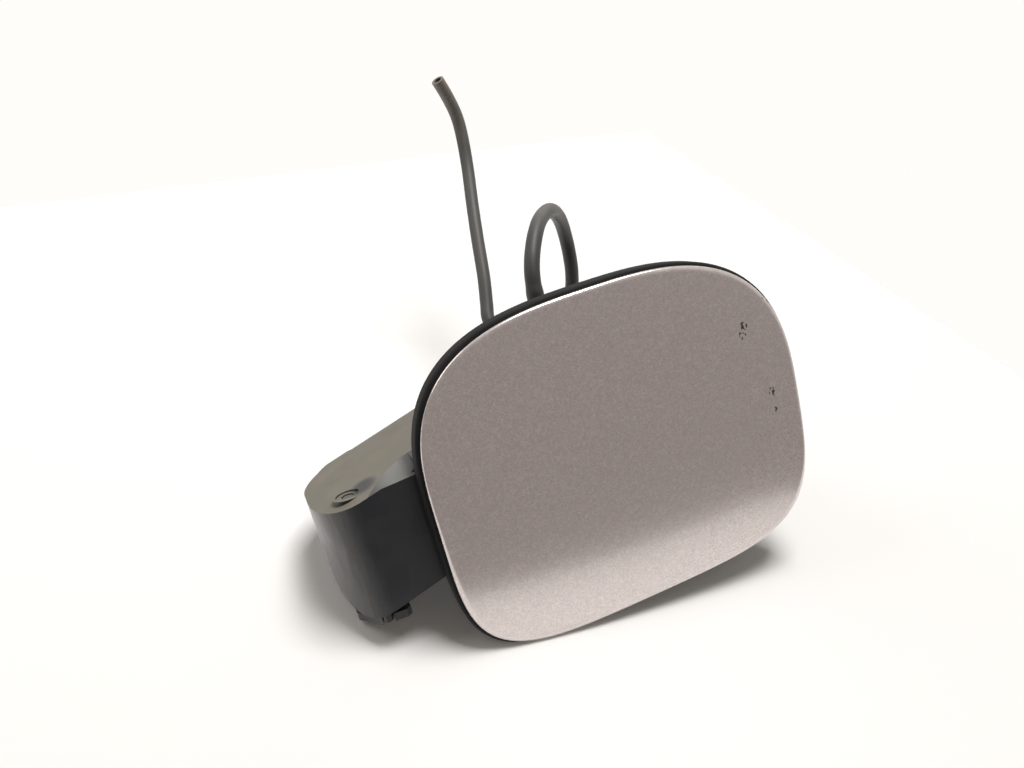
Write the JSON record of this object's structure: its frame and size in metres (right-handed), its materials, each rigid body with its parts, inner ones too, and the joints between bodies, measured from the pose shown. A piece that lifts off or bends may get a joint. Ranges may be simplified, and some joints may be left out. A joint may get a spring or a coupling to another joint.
{
  "type": "fuel filler flap",
  "caption": "Car fuel filler flap: painted crowned panel on a swan-neck hinge, moulded bowl housing with hinge pocket, rim seal and rubber drain hose.",
  "frame": {"origin": "centre of the four fixing holes in the front face of the housing's flange", "axes": "+X away from the hinge, +Y into the bowl, +Z to the side with the drain spout; the car holds it turned half a turn about Y"},
  "size_m": [0.2135, 0.1767, 0.2423],
  "materials": {
    "paint": "satin silver metallic",
    "housing_plastic": "matt black, dusty",
    "dark_plastic": "matt black",
    "bush_plastic": "natural",
    "seal_rubber": "matt black",
    "hose_rubber": "satin dark grey",
    "plated_steel": "zinc plated"
  },
  "bodies": {
    "housing_body": {"housing": "housing_plastic", "rim_seal": "seal_rubber", "neck_collar": "seal_rubber", "bolt_grommet": "seal_rubber", "rest_buffers": "seal_rubber", "hinge_pin": "plated_steel", "pin_retainer": "dark_plastic", "hold_spring": "plated_steel", "drain_hose": "hose_rubber"},
    "flap": {"flap_skin": "paint", "inner_panel": "paint", "panel_pads": "seal_rubber", "panel_nuts": "plated_steel", "hinge_arm": "dark_plastic", "arm_bushes": "bush_plastic", "arm_screws": "plated_steel", "latch_catch": "dark_plastic", "catch_rivets": "plated_steel", "cap_holder": "dark_plastic", "cap_holder_clips": "dark_plastic"}
  },
  "joints": [
    {"name": "flap_hinge", "type": "hinge", "parent": "housing_body", "child": "flap", "pos_m": [-0.112, 0.0135, 0], "axis": [0, 0, -1], "range_deg": [0, 90]}
  ]
}
